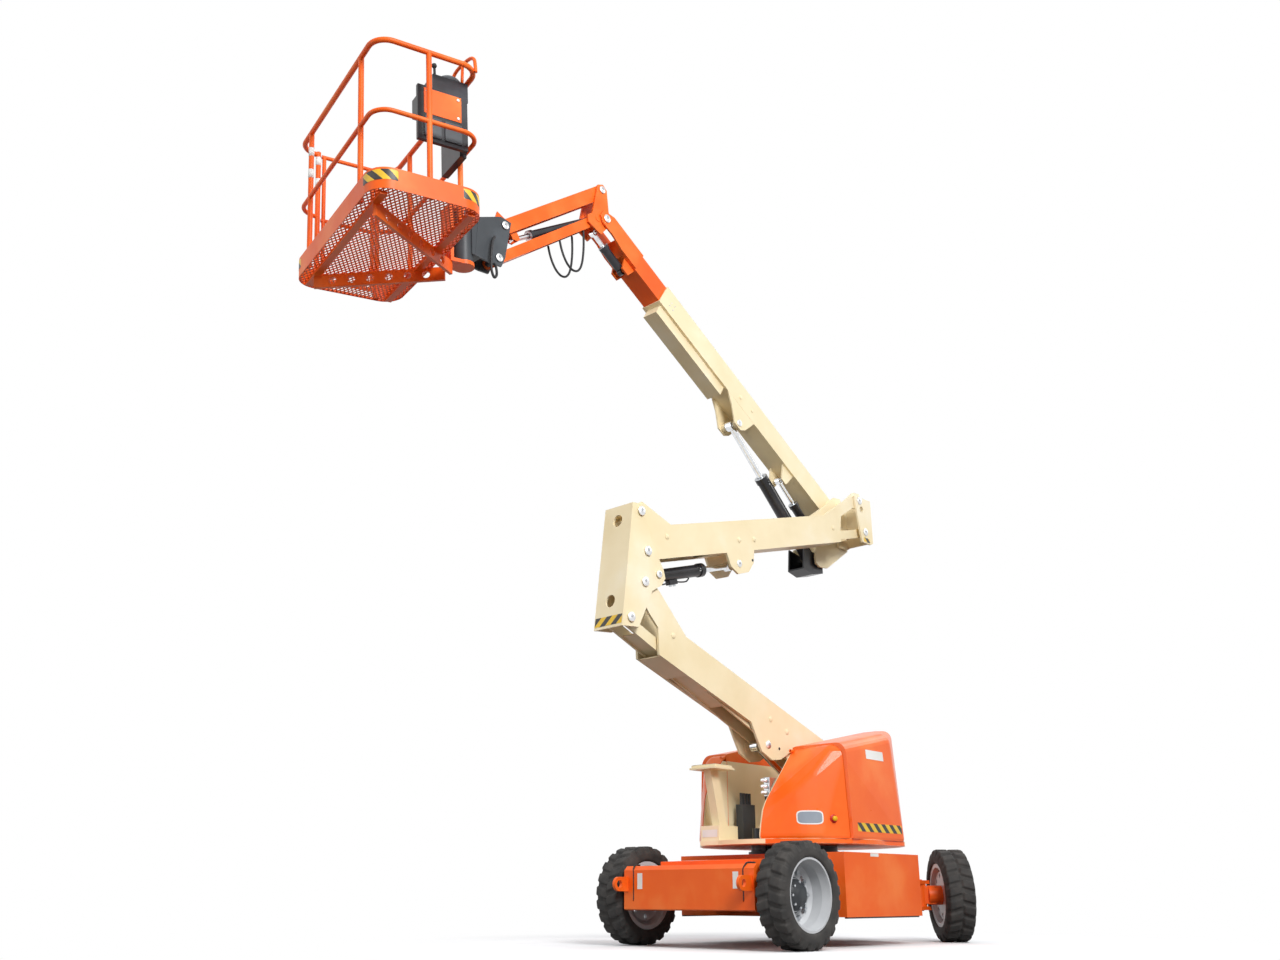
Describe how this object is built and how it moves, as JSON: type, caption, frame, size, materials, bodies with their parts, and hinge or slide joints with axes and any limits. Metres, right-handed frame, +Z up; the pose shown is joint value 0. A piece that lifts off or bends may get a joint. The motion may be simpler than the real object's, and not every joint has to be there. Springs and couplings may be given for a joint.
{
  "type": "articulating boom lift",
  "caption": "Self-propelled articulating boom lift: wheeled chassis, swinging turntable, folding tower booms, telescoping main boom, jib and railed work platform.",
  "frame": {"origin": "on the ground under the turntable's swing axis", "axes": "+X the way the boom and platform point, toward the drive axle, +Y toward the side the picture shows, +Z up"},
  "size_m": [6.0367, 2.2265, 5.9581],
  "materials": {
    "frame_orange": "satin",
    "cover_orange": "gloss",
    "boom_cream": "satin",
    "rim_silver": "satin",
    "tyre_rubber": "matte",
    "black_paint": "satin",
    "rod_chrome": "polished",
    "dark_grey": "satin",
    "machined_steel": "machined",
    "hose_rubber": "matte",
    "console_grey": "matte"
  },
  "bodies": {
    "chassis": {"chassis_frame": "frame_orange", "slew_ring": "dark_grey", "drive_motors": "dark_grey", "steer_axle": "frame_orange"},
    "steer_near": {"knuckle_near": "frame_orange"},
    "steer_far": {"knuckle_far": "frame_orange"},
    "tie_rod": {"tie_rod": "dark_grey"},
    "turntable": {"turntable_frame": "boom_cream", "tail_cover_near": "cover_orange", "tail_cover_far": "cover_orange", "hood_panel_near": "boom_cream", "hood_panel_far": "boom_cream", "battery_packs": "dark_grey", "boom_rest": "boom_cream", "valve_block": "machined_steel", "swing_drive": "black_paint"},
    "hood_near": {"hood_near": "cover_orange"},
    "hood_far": {"hood_far": "cover_orange"},
    "lower_boom": {"lower_boom": "boom_cream"},
    "lower_link": {"lower_link": "boom_cream"},
    "upright": {"upright": "boom_cream"},
    "mid_boom": {"mid_boom": "boom_cream"},
    "mid_link": {"mid_link": "boom_cream"},
    "rear_knuckle": {"rear_knuckle": "boom_cream", "cylinder_box": "black_paint"},
    "main_boom": {"main_boom": "boom_cream"},
    "fly": {"fly_boom": "frame_orange"},
    "jib_base": {"jib_base": "frame_orange"},
    "jib_arm": {"jib_arm": "frame_orange"},
    "jib_link": {"jib_link": "frame_orange", "jib_hose_near": "hose_rubber", "jib_hose_far": "hose_rubber"},
    "rotator": {"rotator_bracket": "dark_grey"},
    "platform": {"platform_support": "frame_orange", "platform_floor": "frame_orange", "toe_board": "frame_orange", "platform_rails": "frame_orange", "console": "console_grey"},
    "gate": {"platform_gate": "frame_orange"},
    "wheel_drive_near": {"rim_drive_near": "rim_silver", "tyre_drive_near": "tyre_rubber"},
    "wheel_drive_far": {"rim_drive_far": "rim_silver", "tyre_drive_far": "tyre_rubber"},
    "wheel_steer_near": {"rim_steer_near": "rim_silver", "tyre_steer_near": "tyre_rubber"},
    "wheel_steer_far": {"rim_steer_far": "rim_silver", "tyre_steer_far": "tyre_rubber"},
    "lower_barrel": {"lower_barrel": "black_paint"},
    "lower_rod": {"lower_rod": "rod_chrome"},
    "mid_barrel": {"mid_barrel": "black_paint"},
    "mid_rod": {"mid_rod": "rod_chrome"},
    "lift_barrel": {"lift_barrel": "black_paint"},
    "lift_rod": {"lift_rod": "rod_chrome"},
    "master_barrel": {"master_barrel": "black_paint"},
    "master_rod": {"master_rod": "rod_chrome"},
    "slave_barrel": {"slave_barrel": "black_paint"},
    "slave_rod": {"slave_rod": "rod_chrome"},
    "jib_barrel": {"jib_barrel": "black_paint"},
    "jib_rod": {"jib_rod": "rod_chrome"}
  },
  "joints": [
    {"name": "steer", "type": "hinge", "parent": "chassis", "child": "steer_near", "pos_m": [-1, 0.505, 0.354], "axis": [0, 0, 1], "range_deg": [-90, 0]},
    {"name": "steer_far", "type": "hinge", "parent": "chassis", "child": "steer_far", "pos_m": [-1, -0.505, 0.354], "axis": [0, 0, 1], "range_deg": [-91, 1]},
    {"name": "tie_rod", "type": "hinge", "parent": "steer_near", "child": "tie_rod", "pos_m": [-1.13435, 0.37065, 0.27], "axis": [0, 0, 1], "range_deg": [-1, 91]},
    {"name": "wheel_drive_near", "type": "hinge", "parent": "chassis", "child": "wheel_drive_near", "pos_m": [1, 0.755, 0.354], "axis": [0, 1, 0], "continuous": true},
    {"name": "wheel_drive_far", "type": "hinge", "parent": "chassis", "child": "wheel_drive_far", "pos_m": [1, -0.755, 0.354], "axis": [0, 1, 0], "continuous": true},
    {"name": "wheel_steer_near", "type": "hinge", "parent": "steer_near", "child": "wheel_steer_near", "pos_m": [-1.17678, 0.68178, 0.354], "axis": [-0.7071, 0.7071, 0], "continuous": true},
    {"name": "wheel_steer_far", "type": "hinge", "parent": "steer_far", "child": "wheel_steer_far", "pos_m": [-0.82322, -0.68178, 0.354], "axis": [-0.7071, 0.7071, 0], "continuous": true},
    {"name": "swing", "type": "hinge", "parent": "chassis", "child": "turntable", "pos_m": [0, 0, 0.7], "axis": [0, 0, 1], "range_deg": [-177.5, 177.5]},
    {"name": "hood_near", "type": "hinge", "parent": "turntable", "child": "hood_near", "pos_m": [0.298, 0.236, 1.412], "axis": [1, 0, 0], "range_deg": [0, 70]},
    {"name": "hood_far", "type": "hinge", "parent": "turntable", "child": "hood_far", "pos_m": [0.298, -0.466, 1.412], "axis": [-1, 0, 0], "range_deg": [0, 70]},
    {"name": "lower_lift", "type": "hinge", "parent": "turntable", "child": "lower_boom", "pos_m": [-0.6, 0, 1.45], "axis": [0, -1, 0], "range_deg": [-27, 45]},
    {"name": "lower_link", "type": "hinge", "parent": "turntable", "child": "lower_link", "pos_m": [-0.455, 0, 1.164], "axis": [0, -1, 0], "range_deg": [-28, 46]},
    {"name": "lower_barrel", "type": "hinge", "parent": "turntable", "child": "lower_barrel", "pos_m": [-0.62, 0, 0.85], "axis": [0, -1, 0], "range_deg": [-20.57, 33.62]},
    {"name": "lower_rod", "type": "slide", "parent": "lower_barrel", "child": "lower_rod", "axis": [0.8669, 0, 0.4986], "range_m": [-0.2171, 0.3584]},
    {"name": "upright_level", "type": "hinge", "parent": "lower_boom", "child": "upright", "pos_m": [1.87338, 0, 2.4948], "axis": [0, -1, 0], "range_deg": [-46, 28]},
    {"name": "mid_lift", "type": "hinge", "parent": "upright", "child": "mid_boom", "pos_m": [1.91338, 0, 3.0238], "axis": [0, 1, 0], "range_deg": [-12, 50]},
    {"name": "mid_link", "type": "hinge", "parent": "upright", "child": "mid_link", "pos_m": [1.84438, 0, 2.7318], "axis": [0, 1, 0], "range_deg": [-13, 51]},
    {"name": "mid_barrel", "type": "hinge", "parent": "upright", "child": "mid_barrel", "pos_m": [1.72638, 0, 2.5768], "axis": [0, 1, 0], "range_deg": [-12.1, 47.25]},
    {"name": "mid_rod", "type": "slide", "parent": "mid_barrel", "child": "mid_rod", "axis": [-0.9599, 0, 0.2802], "range_m": [-0.0992, 0.3977]},
    {"name": "knuckle_level", "type": "hinge", "parent": "mid_boom", "child": "rear_knuckle", "pos_m": [-1.06999, 0, 3.83996], "axis": [0, 1, 0], "range_deg": [-51, 13]},
    {"name": "upper_lift", "type": "hinge", "parent": "rear_knuckle", "child": "main_boom", "pos_m": [-1.09999, -0.27, 3.76196], "axis": [0, -1, 0], "range_deg": [-35, 44]},
    {"name": "lift_barrel", "type": "hinge", "parent": "rear_knuckle", "child": "lift_barrel", "pos_m": [-0.81999, -0.27, 3.25696], "axis": [0, -1, 0], "range_deg": [-31.8, 39.72]},
    {"name": "lift_rod", "type": "slide", "parent": "lift_barrel", "child": "lift_rod", "axis": [0.7336, 0, 0.6796], "range_m": [-0.3715, 0.4658]},
    {"name": "master_barrel", "type": "hinge", "parent": "rear_knuckle", "child": "master_barrel", "pos_m": [-1.00999, -0.27, 3.42196], "axis": [0, -1, 0], "range_deg": [-29, 36.2]},
    {"name": "master_rod", "type": "slide", "parent": "master_barrel", "child": "master_rod", "axis": [0.7641, 0, 0.6451], "range_m": [-0.2005, 0.2507]},
    {"name": "telescope", "type": "slide", "parent": "main_boom", "child": "fly", "axis": [0.8572, 0, 0.515], "range_m": [0, 1.75]},
    {"name": "jib_level", "type": "hinge", "parent": "fly", "child": "jib_base", "pos_m": [1.99524, -0.27, 5.62176], "axis": [0, -1, 0], "range_deg": [-45, 36]},
    {"name": "slave_barrel", "type": "hinge", "parent": "fly", "child": "slave_barrel", "pos_m": [1.7202, -0.27, 5.2815], "axis": [0, 1, 0], "range_deg": [-3.75, 3.19]},
    {"name": "slave_rod", "type": "slide", "parent": "slave_barrel", "child": "slave_rod", "axis": [0.8333, 0, 0.5528], "range_m": [-0.0895, 0.0722]},
    {"name": "jib_lift", "type": "hinge", "parent": "jib_base", "child": "jib_arm", "pos_m": [2.03524, -0.27, 5.89176], "axis": [0, -1, 0], "range_deg": [-21, 113]},
    {"name": "jib_link", "type": "hinge", "parent": "jib_base", "child": "jib_link", "pos_m": [2.07824, -0.27, 5.59676], "axis": [0, -1, 0], "range_deg": [-22, 114]},
    {"name": "jib_barrel", "type": "hinge", "parent": "jib_base", "child": "jib_barrel", "pos_m": [2.15024, -0.27, 5.56176], "axis": [0, -1, 0], "range_deg": [-22.52, 116.82]},
    {"name": "jib_rod", "type": "slide", "parent": "jib_barrel", "child": "jib_rod", "axis": [0.8316, 0, -0.5553], "range_m": [-0.1003, 0.5178]},
    {"name": "rotator_level", "type": "hinge", "parent": "jib_arm", "child": "rotator", "pos_m": [3.04965, -0.27, 5.08196], "axis": [0, -1, 0], "range_deg": [-114, 22]},
    {"name": "platform_rotate", "type": "hinge", "parent": "rotator", "child": "platform", "pos_m": [3.34965, -0.27, 4.65696], "axis": [0.0872, 0, 0.9962], "range_deg": [-77, 103]},
    {"name": "gate", "type": "hinge", "parent": "platform", "child": "gate", "pos_m": [3.52825, -1.09826, 4.64134], "axis": [0.0872, 0, 0.9962], "range_deg": [0, 90]}
  ],
  "couplings": [
    {"joint": "steer_far", "follows": "steer", "ratio": 1},
    {"joint": "tie_rod", "follows": "steer", "ratio": -1},
    {"joint": "lower_link", "follows": "lower_lift", "ratio": 1},
    {"joint": "lower_barrel", "follows": "lower_lift", "ratio": 0.725},
    {"joint": "lower_rod", "follows": "lower_lift", "m_per_rad": 0.45},
    {"joint": "upright_level", "follows": "lower_lift", "ratio": -1},
    {"joint": "mid_link", "follows": "mid_lift", "ratio": 1},
    {"joint": "mid_barrel", "follows": "mid_lift", "ratio": 0.925},
    {"joint": "mid_rod", "follows": "mid_lift", "m_per_rad": 0.45},
    {"joint": "knuckle_level", "follows": "mid_lift", "ratio": -1},
    {"joint": "lift_barrel", "follows": "upper_lift", "ratio": 0.88},
    {"joint": "lift_rod", "follows": "upper_lift", "m_per_rad": 0.6},
    {"joint": "master_barrel", "follows": "upper_lift", "ratio": 0.8},
    {"joint": "master_rod", "follows": "upper_lift", "m_per_rad": 0.32},
    {"joint": "jib_level", "follows": "upper_lift", "ratio": -1},
    {"joint": "slave_barrel", "follows": "upper_lift", "ratio": -0.0625},
    {"joint": "slave_rod", "follows": "upper_lift", "m_per_rad": -0.11},
    {"joint": "jib_link", "follows": "jib_lift", "ratio": 1},
    {"joint": "jib_barrel", "follows": "jib_lift", "ratio": 1.025},
    {"joint": "jib_rod", "follows": "jib_lift", "m_per_rad": 0.26},
    {"joint": "rotator_level", "follows": "jib_lift", "ratio": -1}
  ]
}
